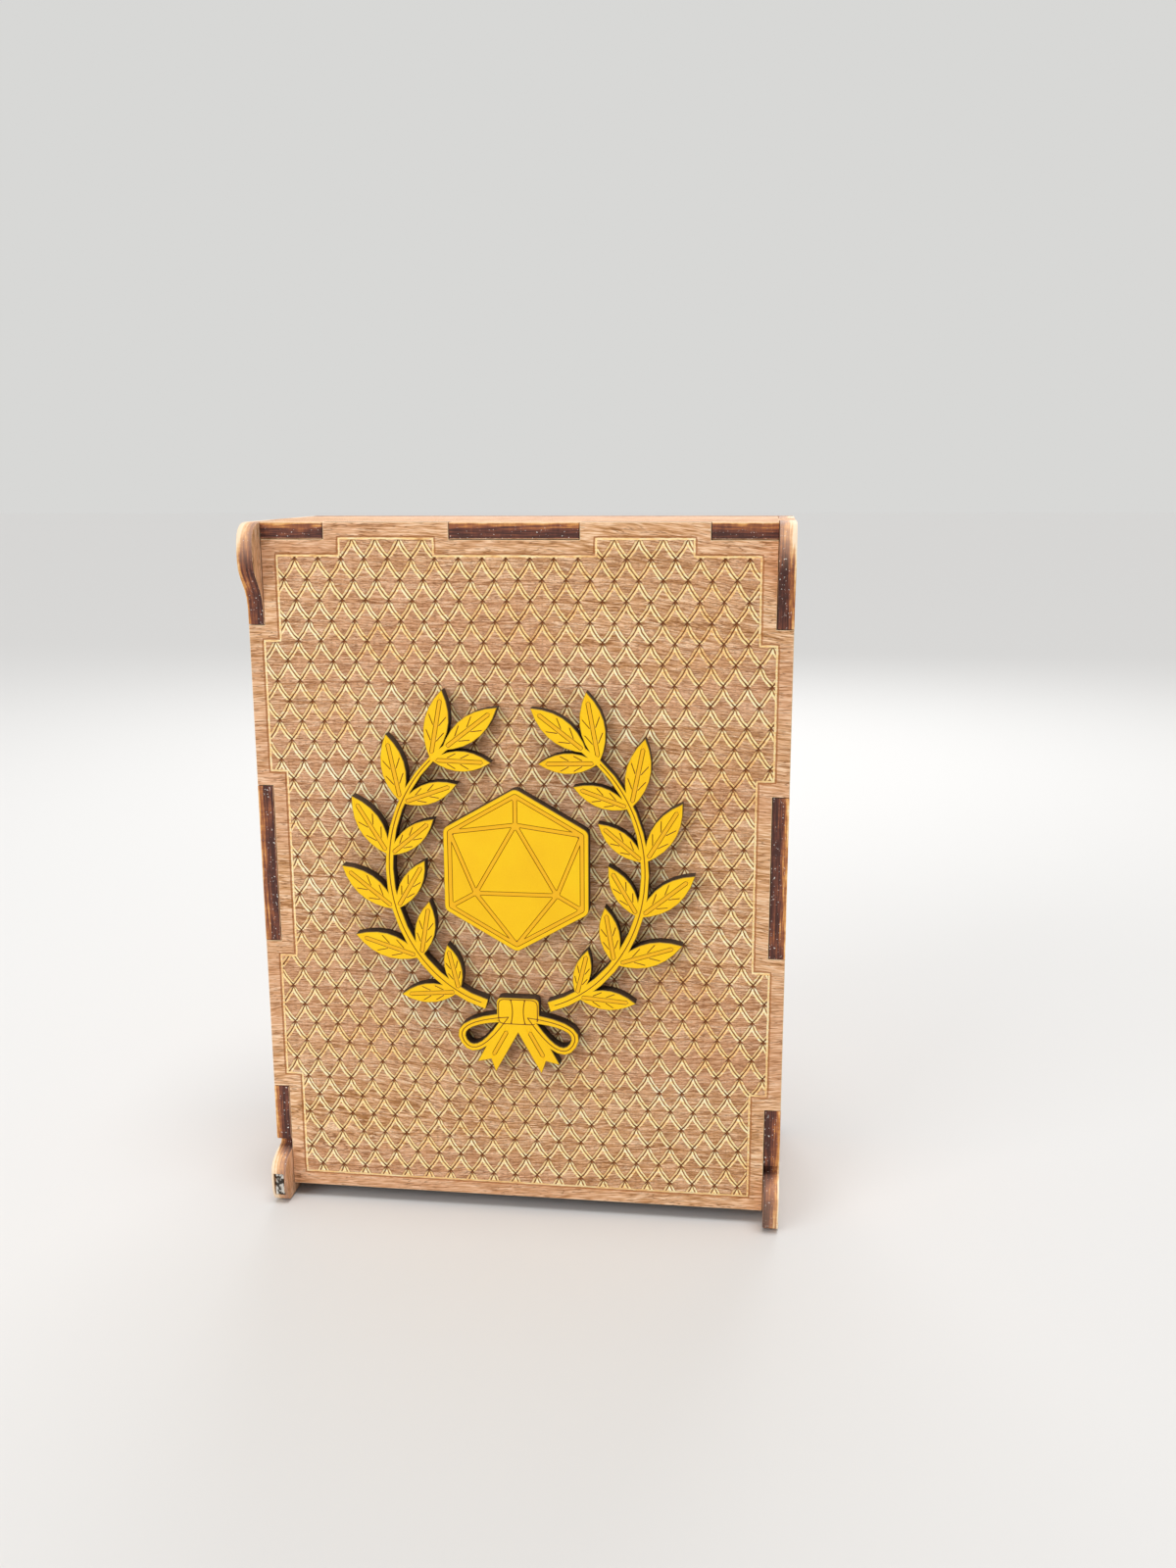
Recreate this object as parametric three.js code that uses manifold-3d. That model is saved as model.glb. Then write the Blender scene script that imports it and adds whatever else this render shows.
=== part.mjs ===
import * as THREE from 'three';
import { mergeVertices } from 'three/addons/utils/BufferGeometryUtils.js';
import Module from 'manifold-3d';

// A folding dice tower, laser-cut from one thickness of plywood. The front half is a rolling tray that
// stands nested over the tower and drops forward on two pins. X is the width, Y runs from the front panel
// to the back, Z is up from the table. All sizes are millimetres.

// Driving dimensions of the box
const sheet = 3.2;
const boxWidth = 108;
const boxHeight = 144.8;
const boxDepth = 46;
const footRise = 3;
const runningGap = 0.4;
const fitGap = 0.15;
const slotGap = 0.3;
const cutOverrun = 1;

// Hinge and magnets
const pinRadius = 1.5;
const pinHoleGap = 0.2;
const pinStandOut = 0.8;
const pinInset = 0.2;
const pivotDepth = 8;
const magnetRadius = 2.6;
const magnetThickness = 2.6;
const magnetGap = 0.15;
const magnetInset = 0.2;
const latchMagnetBelowTop = 13.8;
const latchMagnetFromBack = 16;

// Ears and feet of the tray's side walls
const proud = 4.5;
const earTopCurve = 5.2;
const earLip = 0.7;
const earFlatTop = 5.3;
const earFlatLength = 2;
const earSweep = 10;
const earSweepTopPull = 4;
const earSweepEndPull = 5;
const earSweepEndDip = 0.2;
const fingerBottom = 14.2;
const neckTop = 13;
const neckDepth = 2.5;
const neckBottom = 11.2;
const neckRound = 0.9;
const lobeShoulder = 10.6;
const lobeShoulderForward = 1;
const lobeCrown = 9.8;
const lobeTop = 7.2;
const lobeBottom = 5.6;
const toeControl = 1.2;
const toeBack = 1.2;

// Finger joints
const footFinger = 25.5;
const topFinger = 20.1;
const sideFingerRows = 3;
const endWallFingerLength = 14;
const endWallFingerFromFront = 14;
const backTabRows = 3;
const backTabLength = 22;
const frontTabRows = 2;
const baseTabFromMagnet = 3.65;
const baseTabFromBack = 2.8;

// Tower insides
const exitHeight = 46;
const exitTipDepth = 9;
const exitTipHeight = 11;
const slope = Math.PI / 4;
const baffleReach = 14;
const upperBaffleRoot = 106;
const lowerBaffleRoot = 74;
const slopeTabShare = 0.5;
const baseStart = 20;
const towerFootMagnetDepth = 21.6;
const towerFootMagnetHeight = 3.4;

// Block magnets in the tray's feet: the left one lies open in the foot's front edge, the right one is let in
// from the outer face and keeps a skin of wood in front of it
const footMagnetWidth = 2;
const footMagnetDepth = 2.6;
const footMagnetLength = 4.8;
const footMagnetHeight = 4.7;
const leftFootInset = 0.35;
const rightFootSkin = 1.2;

// Emblem board: a wreath of two branches, a twenty-sided die inside it and a tied ribbon below
const boardThickness = 3;
const glueLine = 0.1;
const emblemHeight = 76;
const dieRadius = 17;
const dieCornerRadius = 1;
const stemRadiusX = 26;
const stemRadiusZ = 29.5;
const stemWidth = 2.2;
const leafPairs = 6;
const knotHalfWidth = 4.4;
const knotHalfHeight = 3;
const knotRound = 1.2;
const knotBelowStems = 1.4;
const loopLength = 14;
const loopHalfWidth = 3.3;
const loopBand = 1.5;
const loopEyeStart = 4.6;
const tailLength = 14;
const tailWidth = 4.4;
const tailNotch = 2;

// Sizes worked out from the driving ones
const half = boxWidth / 2;
const innerHalf = half - sheet;
const towerHalf = innerHalf - runningGap;
const chamberHalf = towerHalf - sheet;
const pinHoleRadius = pinRadius + pinHoleGap;
const pivotHeight = pivotDepth + proud;
const towerFront = sheet + runningGap;
const chamberFront = towerFront + sheet;
const backFace = boxDepth - sheet;
const trayBack = backFace - runningGap;
const endWallBottom = boxHeight - sheet;
const towerTop = endWallBottom - runningGap;
const sideFingerPitch = (boxHeight - topFinger - footFinger) / sideFingerRows;
const topFingerPitch = (2 * innerHalf) / 4;
const latchMagnetHeight = boxHeight - latchMagnetBelowTop;
const latchMagnetDepth = boxDepth - latchMagnetFromBack;
const pocketRadius = magnetRadius + magnetGap;
const roundSides = 24;
const holeSteps = 24;
const outlineSteps = 6;

// Colours of the stock
const walnut = 0x8f6450;
const burntEdge = 0x6b3f26;
const yellow = 0xf2c200;
const steel = 0xb8bcc0;

const wasm = await Module();
wasm.setup();

const tower = new THREE.Group();
const tray = new THREE.Group();

function stock(colour, roughness, metalness) {
  return new THREE.MeshStandardMaterial({ color: colour, roughness, metalness });
}

function addMesh(group, name, geometry, material) {
  const mesh = new THREE.Mesh(geometry, material);
  mesh.name = name;
  group.add(mesh);
  return mesh;
}

function shapeOf(points) {
  return new THREE.Shape(points.map(([u, v]) => new THREE.Vector2(u, v)));
}

function rectangle(u0, u1, v0, v1) {
  return shapeOf([[u0, v0], [u1, v0], [u1, v1], [u0, v1]]);
}

function circle(u, v, radius) {
  const shape = new THREE.Shape();
  shape.absarc(u, v, radius, 0, 2 * Math.PI, false);
  return shape;
}

function extrude(shape, thickness, curveSegments = outlineSteps) {
  return new THREE.ExtrudeGeometry(shape, { depth: thickness, bevelEnabled: false, curveSegments });
}

// A sheet cut by the laser: every opening goes right through its thickness
function cutSheet(outline, openings) {
  let solid = toSolid(extrude(outline, sheet));
  for (const opening of openings) {
    const cutter = extrude(opening, sheet + 2 * cutOverrun, holeSteps);
    cutter.translate(0, 0, -cutOverrun);
    solid = solid.subtract(toSolid(cutter));
  }
  return solid;
}

// A sheet that faces the front: its outline is drawn in x and z, and it runs from y = front backwards
function frontSheet(group, name, geometry, front, thickness, material) {
  const mesh = addMesh(group, name, geometry, material);
  const basis = new THREE.Matrix4().makeBasis(
    new THREE.Vector3(1, 0, 0), new THREE.Vector3(0, 0, 1), new THREE.Vector3(0, -1, 0));
  mesh.quaternion.setFromRotationMatrix(basis);
  mesh.position.y = front + thickness;
  return mesh;
}

// A sheet that faces sideways: its outline is drawn in y and z, and it runs from x = left to the right
const sidewaysBasis = new THREE.Matrix4().makeBasis(
  new THREE.Vector3(0, 1, 0), new THREE.Vector3(0, 0, 1), new THREE.Vector3(1, 0, 0));

function sideSheet(group, name, geometry, left, material) {
  const mesh = addMesh(group, name, geometry, material);
  mesh.quaternion.setFromRotationMatrix(sidewaysBasis);
  mesh.position.x = left;
  return mesh;
}

function flatSheet(group, name, shape, bottom, material) {
  const mesh = addMesh(group, name, extrude(shape, sheet), material);
  mesh.position.z = bottom;
  return mesh;
}

function toSolid(geometry) {
  const bare = geometry.clone();
  bare.deleteAttribute('normal');
  bare.deleteAttribute('uv');
  const merged = mergeVertices(bare);
  return new wasm.Manifold(new wasm.Mesh({
    numProp: 3,
    vertProperties: new Float32Array(merged.attributes.position.array),
    triVerts: new Uint32Array(merged.index.array),
  }));
}

function toGeometry(solid) {
  const mesh = solid.getMesh();
  const geometry = new THREE.BufferGeometry();
  geometry.setAttribute('position', new THREE.BufferAttribute(new Float32Array(mesh.vertProperties), 3));
  geometry.setIndex(new THREE.BufferAttribute(new Uint32Array(mesh.triVerts), 1));
  geometry.computeVertexNormals();
  return geometry;
}

// A disc or pin lying along X, drawn about its own centre
function crossDisc(group, name, radius, left, length, y, z, material) {
  const disc = new THREE.CylinderGeometry(radius, radius, length, roundSides);
  const mesh = addMesh(group, name, disc, material);
  mesh.rotation.z = Math.PI / 2;
  mesh.position.set(left + length / 2, y, z);
  return mesh;
}

// Rows along the height where the side walls' fingers reach the front face, from the bottom upwards
const tabRows = [
  [footFinger, footFinger + sideFingerPitch],
  [footFinger + 2 * sideFingerPitch, footFinger + 3 * sideFingerPitch],
];

// Front panel, the floor of the tray: full-width tabs in two rows, tabs up through the end wall's notches
function frontPanelShape() {
  const notchHalf = innerHalf - fitGap;
  const right = [[notchHalf, footRise]];
  for (const [low, high] of tabRows) {
    right.push([notchHalf, low + fitGap], [half, low + fitGap]);
    right.push([half, high - fitGap], [notchHalf, high - fitGap]);
  }
  const notchFloor = endWallBottom - fitGap;
  const top = [
    [notchHalf, notchFloor],
    [1.5 * topFingerPitch - fitGap, notchFloor], [1.5 * topFingerPitch - fitGap, boxHeight],
    [0.5 * topFingerPitch + fitGap, boxHeight], [0.5 * topFingerPitch + fitGap, notchFloor],
  ];
  const rightSide = [...right, ...top];
  const leftSide = rightSide.map(([u, v]) => [-u, v]).reverse();
  return shapeOf([...rightSide, ...leftSide]);
}

// Side wall of the tray, with its ear, foot, neck and fingers; the back's lower corner clears the swing
function traySideShape() {
  const s = new THREE.Shape();
  const panelBack = sheet + fitGap;
  const bottom = runningGap;
  const sweep = trayBack - pivotDepth;
  const heel = pivotHeight - bottom;
  s.moveTo(-proud + toeBack + lobeShoulderForward, bottom);
  s.lineTo(pivotDepth + Math.sqrt(sweep * sweep - heel * heel), bottom);
  s.absarc(pivotDepth, pivotHeight, sweep, -Math.asin(heel / sweep), 0, false);
  s.lineTo(trayBack, boxHeight);
  const slotStart = endWallFingerFromFront;
  const slotEnd = endWallFingerFromFront + endWallFingerLength;
  s.lineTo(slotEnd + fitGap, boxHeight);
  s.lineTo(slotEnd + fitGap, endWallBottom - fitGap);
  s.lineTo(slotStart - fitGap, endWallBottom - fitGap);
  s.lineTo(slotStart - fitGap, boxHeight);
  s.lineTo(earLip, boxHeight);
  s.quadraticCurveTo(-proud, boxHeight, -proud, boxHeight - earTopCurve);
  const flatEnd = boxHeight - earFlatTop - earFlatLength;
  s.lineTo(-proud, flatEnd);
  s.bezierCurveTo(-proud, flatEnd - earSweepTopPull, -earSweepEndDip, flatEnd - earSweepEndPull,
    0, flatEnd - earSweep);
  for (const [low, high] of [...tabRows].reverse()) {
    s.lineTo(0, high);
    s.lineTo(panelBack, high);
    s.lineTo(panelBack, low);
    s.lineTo(0, low);
  }
  s.lineTo(0, fingerBottom);
  s.quadraticCurveTo(0, neckTop, neckRound, neckTop);
  s.lineTo(neckDepth - neckRound, neckTop);
  s.quadraticCurveTo(neckDepth, neckTop, neckDepth, neckTop - neckRound);
  s.quadraticCurveTo(neckDepth, neckBottom, neckDepth - neckRound, neckBottom);
  s.lineTo(-lobeShoulderForward, lobeShoulder);
  s.quadraticCurveTo(-proud, lobeCrown, -proud, lobeTop);
  s.lineTo(-proud, lobeBottom);
  s.quadraticCurveTo(-proud, toeControl, -proud + toeBack + lobeShoulderForward, bottom);
  return s;
}

// The foot magnet's pocket runs from one depth behind the front panel's face to another, and from one
// place in the sheet's thickness to another
function traySide(pocketFront, pocketBack, pocketLow, pocketHigh) {
  const wall = cutSheet(traySideShape(), [
    circle(pivotDepth, pivotHeight, pinHoleRadius),
    circle(latchMagnetDepth, latchMagnetHeight, pocketRadius),
  ]);
  const reach = footMagnetLength / 2 + magnetGap;
  const pocketShape = rectangle(pocketFront, pocketBack, footMagnetHeight - reach, footMagnetHeight + reach);
  const pocket = extrude(pocketShape, pocketHigh - pocketLow);
  pocket.translate(0, 0, pocketLow);
  return toGeometry(wall.subtract(toSolid(pocket)));
}

// End wall of the tray, the top of the closed box
function endWallShape() {
  const side = innerHalf - fitGap;
  const front = sheet + fitGap;
  const slotStart = endWallFingerFromFront;
  const slotEnd = endWallFingerFromFront + endWallFingerLength;
  const right = [
    [0.5 * topFingerPitch, 0], [0.5 * topFingerPitch, front],
    [1.5 * topFingerPitch, front], [1.5 * topFingerPitch, 0],
    [side, 0], [side, slotStart], [half, slotStart], [half, slotEnd], [side, slotEnd], [side, trayBack],
  ];
  const left = right.map(([u, v]) => [-u, v]).reverse();
  return shapeOf([...right, ...left]);
}

// Rows of tabs that join the tower's side walls to its back and front
function evenRows(count, length, low, high) {
  const pitch = (high - low) / count;
  const rows = [];
  for (let i = 0; i < count; i += 1) {
    const middle = low + (i + 0.5) * pitch;
    rows.push([middle - length / 2, middle + length / 2]);
  }
  return rows;
}

const backRows = evenRows(backTabRows, backTabLength, 0, towerTop);
const frontTabLength = (towerTop - exitHeight) / (2 * frontTabRows);
const frontRows = evenRows(frontTabRows, frontTabLength, exitHeight, towerTop);

// A sheet that slopes down from a wall. Its top face starts beside the wall and falls by the slope angle;
// u runs down the slope and v runs off the face
function slopingSheet(rootFace, direction, rootHeight, length) {
  const across = Math.cos(slope);
  const fall = Math.sin(slope);
  const start = rootFace + direction * sheet * fall;
  return {
    start, direction, rootHeight, length,
    at: (u, v) => [start + direction * (u * across + v * fall), rootHeight - u * fall + v * across],
  };
}

const baffleLength = baffleReach / Math.cos(slope) - sheet;
const upperBaffle = slopingSheet(backFace - fitGap, -1, upperBaffleRoot, baffleLength);
const lowerBaffle = slopingSheet(chamberFront + fitGap, 1, lowerBaffleRoot, baffleLength);
const rampRun = backFace - fitGap - sheet * Math.sin(slope) - exitTipDepth;
const ramp = slopingSheet(backFace - fitGap, -1, exitTipHeight + rampRun * Math.tan(slope),
  rampRun / Math.cos(slope));
const slopes = [upperBaffle, lowerBaffle, ramp];

function tabSpan(item) {
  const margin = (item.length * (1 - slopeTabShare)) / 2;
  return [margin, item.length - margin];
}

// The base's tabs come through the side walls between the tower's foot magnets and the back
const baseTabStart = towerFootMagnetDepth + pocketRadius + baseTabFromMagnet;
const baseTabEnd = backFace - baseTabFromBack;

// Side wall of the tower: hooked round the pivot, and cut away below where the tray's floor swings through
function towerSideOutline() {
  const s = new THREE.Shape();
  const hook = pivotDepth - towerFront;
  const panelReach = pivotHeight - footRise;
  const sweep = Math.hypot(pivotDepth, panelReach) + runningGap;
  const clearX = pivotDepth + panelReach + runningGap;
  const hookBottom = pivotHeight - hook;
  const drop = Math.sqrt(sweep * sweep - (clearX - pivotDepth) * (clearX - pivotDepth));
  const startAngle = -Math.asin(pivotHeight / sweep);
  const back = backFace - fitGap;
  s.moveTo(pivotDepth + sweep * Math.cos(startAngle), 0);
  const baseNotch = [baseTabStart - fitGap, baseTabEnd + fitGap];
  s.lineTo(baseNotch[0], 0);
  s.lineTo(baseNotch[0], sheet + fitGap);
  s.lineTo(baseNotch[1], sheet + fitGap);
  s.lineTo(baseNotch[1], 0);
  s.lineTo(back, 0);
  for (const [low, high] of backRows) {
    s.lineTo(back, low);
    s.lineTo(boxDepth, low);
    s.lineTo(boxDepth, high);
    s.lineTo(back, high);
  }
  s.lineTo(back, towerTop);
  s.lineTo(towerFront, towerTop);
  for (const [low, high] of [...frontRows].reverse()) {
    s.lineTo(towerFront, high + fitGap);
    s.lineTo(chamberFront + fitGap, high + fitGap);
    s.lineTo(chamberFront + fitGap, low - fitGap);
    s.lineTo(towerFront, low - fitGap);
  }
  s.lineTo(towerFront, pivotHeight);
  s.absarc(pivotDepth, pivotHeight, hook, Math.PI, 1.5 * Math.PI, false);
  s.lineTo(clearX, hookBottom);
  s.lineTo(clearX, pivotHeight - drop);
  s.absarc(pivotDepth, pivotHeight, sweep, -Math.asin(drop / sweep), startAngle, true);
  return s;
}

function towerSide() {
  const openings = [
    circle(pivotDepth, pivotHeight, pinHoleRadius),
    circle(latchMagnetDepth, latchMagnetHeight, pocketRadius),
    circle(towerFootMagnetDepth, towerFootMagnetHeight, pocketRadius),
  ];
  for (const item of slopes) {
    const [start, end] = tabSpan(item);
    openings.push(shapeOf([
      item.at(start - slotGap, slotGap), item.at(end + slotGap, slotGap),
      item.at(end + slotGap, -sheet - slotGap), item.at(start - slotGap, -sheet - slotGap),
    ]));
  }
  return toGeometry(cutSheet(towerSideOutline(), openings));
}

// Back panel: the full width of the box, slotted for the side walls' tabs
function backPanel() {
  const openings = [];
  for (const [low, high] of backRows) {
    for (const left of [-towerHalf, chamberHalf]) {
      openings.push(rectangle(left - fitGap, left + sheet + fitGap, low - fitGap, high + fitGap));
    }
  }
  return toGeometry(cutSheet(rectangle(-half, half, 0, boxHeight), openings));
}

function towerFrontShape() {
  const side = chamberHalf - fitGap;
  const right = [[side, exitHeight]];
  for (const [low, high] of frontRows) {
    right.push([side, low], [towerHalf, low], [towerHalf, high], [side, high]);
  }
  right.push([side, towerTop]);
  const left = right.map(([u, v]) => [-u, v]).reverse();
  return shapeOf([...right, ...left]);
}

function baseShape() {
  const side = chamberHalf - fitGap;
  const right = [
    [side, baseStart], [side, baseTabStart], [towerHalf, baseTabStart],
    [towerHalf, baseTabEnd], [side, baseTabEnd], [side, backFace - fitGap],
  ];
  const left = right.map(([u, v]) => [-u, v]).reverse();
  return shapeOf([...right, ...left]);
}

// A sloping sheet, drawn flat with x across and y down the slope, then turned about X beside its wall
function addSlopingSheet(name, item, material) {
  const side = chamberHalf - slotGap;
  const [start, end] = tabSpan(item);
  const right = [
    [side, 0], [side, start], [towerHalf, start], [towerHalf, end], [side, end], [side, item.length],
  ];
  const left = right.map(([u, v]) => [-u, v]).reverse();
  const facing = item.direction;
  const points = [...right, ...left].map(([u, v]) => [facing * u, v]);
  const holder = new THREE.Group();
  holder.position.set(0, item.start, item.rootHeight);
  holder.rotation.z = facing < 0 ? Math.PI : 0;
  const tilt = new THREE.Group();
  tilt.rotation.x = -slope;
  holder.add(tilt);
  const mesh = addMesh(tilt, name, extrude(shapeOf(points), sheet), material);
  mesh.position.z = -sheet;
  tower.add(holder);
}

// Shares and angles of the wreath; angles are in radians. Leaves are sized by their spacing along the stem
const leafLengthShare = 1.3;
const leafWidthShare = 0.45;
const leafBellyShare = 0.5;
const stemTaperShare = 0.45;
const insideLeafShare = 0.85;
const firstLeafShare = 0.85;
const leafPlaceShare = 0.6;
const tipLeafShare = 0.98;
const leafSteps = 7;
const stemSteps = 16;
const stemStartAngle = -1.32;
const stemEndAngle = 1.02;
const outerLeafAngle = -0.62;
const innerLeafAngle = 0.8;
const loopAngle = -0.54;
const tailAngle = -1.07;

// A leaf from its base to its tip, pointing along an angle
function leafSolid([baseU, baseV], angle, length) {
  const halfWidth = (leafWidthShare / leafLengthShare) * length;
  const s = new THREE.Shape();
  s.moveTo(0, 0);
  s.quadraticCurveTo(length * leafBellyShare, halfWidth, length, 0);
  s.quadraticCurveTo(length * leafBellyShare, -halfWidth, 0, 0);
  const geometry = extrude(s, boardThickness, leafSteps);
  geometry.rotateZ(angle);
  geometry.translate(baseU, baseV, 0);
  return toSolid(geometry);
}

// Places along the stem are shares of its angle, from the knot to the tip
function stemAngle(share) {
  return stemStartAngle + (stemEndAngle - stemStartAngle) * share;
}

function stemPoint(angle) {
  return [stemRadiusX * Math.cos(angle), emblemHeight + stemRadiusZ * Math.sin(angle)];
}

function stemHeading(angle) {
  return Math.atan2(stemRadiusZ * Math.cos(angle), -stemRadiusX * Math.sin(angle));
}

function branch() {
  const outer = [];
  const inner = [];
  const middle = [];
  for (let i = 0; i <= stemSteps; i += 1) {
    const share = i / stemSteps;
    const angle = stemAngle(share);
    const [u, v] = stemPoint(angle);
    const across = stemHeading(angle) - Math.PI / 2;
    const w = (stemWidth / 2) * (1 - stemTaperShare * share);
    middle.push(new THREE.Vector2(u, v));
    outer.push([u + w * Math.cos(across), v + w * Math.sin(across)]);
    inner.push([u - w * Math.cos(across), v - w * Math.sin(across)]);
  }
  const leafLength = (leafLengthShare * new THREE.Path(middle).getLength()) / leafPairs;
  let solid = toSolid(extrude(shapeOf([...outer, ...inner.reverse()]), boardThickness));
  for (let i = 0; i < leafPairs; i += 1) {
    const angle = stemAngle((i + leafPlaceShare) / leafPairs);
    const length = leafLength * (i === 0 ? firstLeafShare : 1);
    const heading = stemHeading(angle);
    solid = solid.add(leafSolid(stemPoint(angle), heading + outerLeafAngle, length));
    solid = solid.add(leafSolid(stemPoint(angle), heading + innerLeafAngle, length * insideLeafShare));
  }
  const tipAngle = stemAngle(tipLeafShare);
  return solid.add(leafSolid(stemPoint(tipAngle), stemHeading(tipAngle), leafLength));
}

function emblemPiece(name, geometry, material) {
  const mesh = addMesh(tray, name, geometry, material);
  mesh.quaternion.setFromRotationMatrix(new THREE.Matrix4().makeBasis(
    new THREE.Vector3(1, 0, 0), new THREE.Vector3(0, 0, 1), new THREE.Vector3(0, -1, 0)));
  mesh.position.y = -glueLine;
  return mesh;
}

function dieShape() {
  const s = new THREE.Shape();
  for (let i = 0; i < 6; i += 1) {
    const angle = Math.PI / 2 - (i * Math.PI) / 3;
    const corner = new THREE.Vector2(
      dieRadius * Math.cos(angle), emblemHeight + dieRadius * Math.sin(angle));
    const before = corner.clone().add(turn(dieCornerRadius, angle + (2 * Math.PI) / 3));
    const after = corner.clone().add(turn(dieCornerRadius, angle - (2 * Math.PI) / 3));
    if (i === 0) s.moveTo(before.x, before.y);
    else s.lineTo(before.x, before.y);
    s.quadraticCurveTo(corner.x, corner.y, after.x, after.y);
  }
  s.closePath();
  return s;
}

function turn(length, angle) {
  return new THREE.Vector2(length * Math.cos(angle), length * Math.sin(angle));
}

// The ribbon: a knot between the two stems, a loop to each side and two notched tails below
function pointedLoop(start, end, halfWidth) {
  const s = new THREE.Shape();
  s.moveTo(start, 0);
  s.quadraticCurveTo(end, -2 * halfWidth, end, 0);
  s.quadraticCurveTo(end, 2 * halfWidth, start, 0);
  return s;
}

function turned(shape, angle, height, thickness, bottom) {
  const geometry = extrude(shape, thickness, leafSteps);
  geometry.rotateZ(angle);
  geometry.translate(0, height, bottom);
  return toSolid(geometry);
}

function ribbon() {
  const height = stemPoint(stemStartAngle)[1] - knotBelowStems;
  const w = knotHalfWidth;
  const h = knotHalfHeight;
  const knot = new THREE.Shape();
  knot.moveTo(-w + knotRound, -h);
  for (const [a, b] of [[1, -1], [1, 1], [-1, 1], [-1, -1]]) {
    const before = a === b ? [a * w, b * (h - knotRound)] : [a * (w - knotRound), b * h];
    const after = a === b ? [a * (w - knotRound), b * h] : [a * w, b * (h - knotRound)];
    knot.lineTo(before[0], before[1]);
    knot.quadraticCurveTo(a * w, b * h, after[0], after[1]);
  }
  let solid = turned(knot, 0, height, boardThickness, 0);
  const tail = shapeOf([
    [0, -tailWidth / 2], [tailLength, -tailWidth / 2], [tailLength - tailNotch, 0],
    [tailLength, tailWidth / 2], [0, tailWidth / 2],
  ]);
  for (const mirror of [(angle) => angle, (angle) => Math.PI - angle]) {
    const loop = pointedLoop(0, loopLength, loopHalfWidth);
    const eye = pointedLoop(loopEyeStart, loopLength - loopBand, loopHalfWidth - loopBand);
    const through = boardThickness + 2 * cutOverrun;
    solid = solid.add(turned(loop, mirror(loopAngle), height, boardThickness, 0));
    solid = solid.subtract(turned(eye, mirror(loopAngle), height, through, -cutOverrun));
    solid = solid.add(turned(tail, mirror(tailAngle), height, boardThickness, 0));
  }
  return toGeometry(solid);
}

const wood = () => stock(walnut, 0.75, 0);
const edgeWood = () => stock(burntEdge, 0.8, 0);
const board = () => stock(yellow, 0.45, 0);
const metal = () => stock(steel, 0.3, 1);

// Tower
frontSheet(tower, 'tower_back_panel', backPanel(), backFace, sheet, wood());
frontSheet(tower, 'tower_front_wall', extrude(towerFrontShape(), sheet), towerFront, sheet, wood());
sideSheet(tower, 'tower_side_left', towerSide(), -towerHalf, wood());
sideSheet(tower, 'tower_side_right', towerSide(), chamberHalf, wood());
flatSheet(tower, 'tower_base', baseShape(), 0, wood());
addSlopingSheet('baffle_upper', upperBaffle, wood());
addSlopingSheet('baffle_lower', lowerBaffle, wood());
addSlopingSheet('exit_ramp', ramp, wood());

// Tray
frontSheet(tray, 'front_panel', extrude(frontPanelShape(), sheet), 0, sheet, wood());
const pocketLow = (sheet - footMagnetWidth) / 2 - magnetGap;
const leftMagnetFront = -proud + leftFootInset;
const rightMagnetFront = -proud + rightFootSkin + magnetGap;
const behindMagnet = footMagnetDepth + magnetGap;
const leftWall = traySide(
  -proud - cutOverrun, leftMagnetFront + behindMagnet, pocketLow, sheet - pocketLow);
const rightWall = traySide(
  rightMagnetFront - magnetGap, rightMagnetFront + behindMagnet, pocketLow, sheet + cutOverrun);
sideSheet(tray, 'tray_side_left', leftWall, -half, edgeWood());
sideSheet(tray, 'tray_side_right', rightWall, innerHalf, edgeWood());
flatSheet(tray, 'tray_end_wall', endWallShape(), endWallBottom, wood());
emblemPiece('die_emblem', extrude(dieShape(), boardThickness), board());
emblemPiece('ribbon', ribbon(), board());
const rightBranch = branch();
emblemPiece('wreath_right', toGeometry(rightBranch), board());
emblemPiece('wreath_left', toGeometry(rightBranch.mirror([1, 0, 0])), board());

// Pins and magnets, one of each per side
for (const [side, word, magnetFront] of [[-1, 'left', leftMagnetFront], [1, 'right', rightMagnetFront]]) {
  const placed = (length, outer) => (side < 0 ? -outer : outer - length);
  const magnet = (group, name, outer, y, z) => crossDisc(
    group, `${name}_${word}`, magnetRadius, placed(magnetThickness, outer - magnetInset), magnetThickness,
    y, z, metal());
  const pinLength = half - pinInset - (chamberHalf - pinStandOut);
  crossDisc(tray, `hinge_pin_${word}`, pinRadius, placed(pinLength, half - pinInset), pinLength,
    pivotDepth, pivotHeight, metal());
  const block = new THREE.BoxGeometry(footMagnetWidth, footMagnetDepth, footMagnetLength);
  const footMagnet = addMesh(tray, `foot_magnet_${word}`, block, metal());
  footMagnet.position.set(side * (half - sheet / 2), magnetFront + footMagnetDepth / 2, footMagnetHeight);
  magnet(tray, 'tray_latch_magnet', half, latchMagnetDepth, latchMagnetHeight);
  magnet(tower, 'tower_latch_magnet', towerHalf, latchMagnetDepth, latchMagnetHeight);
  magnet(tower, 'tower_foot_magnet', towerHalf, towerFootMagnetDepth, towerFootMagnetHeight);
}

const diceTower = new THREE.Group();
diceTower.add(tower, tray);
diceTower.position.y = -(boxDepth - proud) / 2;

export default diceTower;
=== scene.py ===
import math
import random

import bmesh
import bpy
import numpy as np
from mathutils import Matrix, Vector
from mathutils.geometry import delaunay_2d_cdt


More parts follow.
